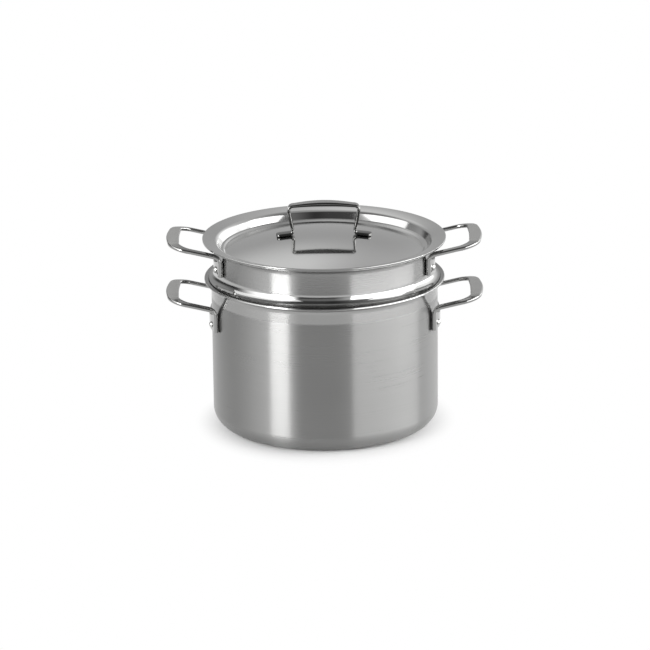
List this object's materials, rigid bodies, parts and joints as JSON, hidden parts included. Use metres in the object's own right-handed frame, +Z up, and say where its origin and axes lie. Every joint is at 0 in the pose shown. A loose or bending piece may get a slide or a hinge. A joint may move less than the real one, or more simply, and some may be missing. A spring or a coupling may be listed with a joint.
{
  "type": "pasta pot with colander",
  "caption": "Deep stainless steel pot with flared rim, riveted loop handles, a perforated colander that hangs in it on its shoulder, and a domed lid with a bridge handle.",
  "frame": {"origin": "middle of the pot's underside, on the surface that it stands on", "axes": "+Z up along the pot's axis, +X towards the right-hand side handles, -Y towards the viewer in the picture"},
  "size_m": [0.3436, 0.2628, 0.247],
  "materials": {
    "pot_steel": "satin",
    "colander_steel": "satin",
    "lid_steel": "polished",
    "handle_steel": "polished",
    "lid_handle_steel": "satin",
    "rivet_steel": "polished"
  },
  "bodies": {
    "pot": {"pot_body": "pot_steel", "pot_handle_right": "handle_steel", "pot_handle_left": "handle_steel", "pot_rivet_right_front": "rivet_steel", "pot_rivet_right_back": "rivet_steel", "pot_rivet_left_front": "rivet_steel", "pot_rivet_left_back": "rivet_steel"},
    "colander": {"colander_body": "colander_steel", "colander_handle_right": "handle_steel", "colander_handle_left": "handle_steel", "colander_rivet_right_front": "rivet_steel", "colander_rivet_right_back": "rivet_steel", "colander_rivet_left_front": "rivet_steel", "colander_rivet_left_back": "rivet_steel"},
    "lid": {"lid_shell": "lid_steel", "lid_handle": "lid_handle_steel"}
  },
  "joints": [
    {"name": "colander_lift", "type": "slide", "parent": "pot", "child": "colander", "axis": [0, 0, 1], "range_m": [0, 0.16]},
    {"name": "lid_lift", "type": "slide", "parent": "colander", "child": "lid", "axis": [0, 0, 1], "range_m": [0, 0.12]}
  ]
}
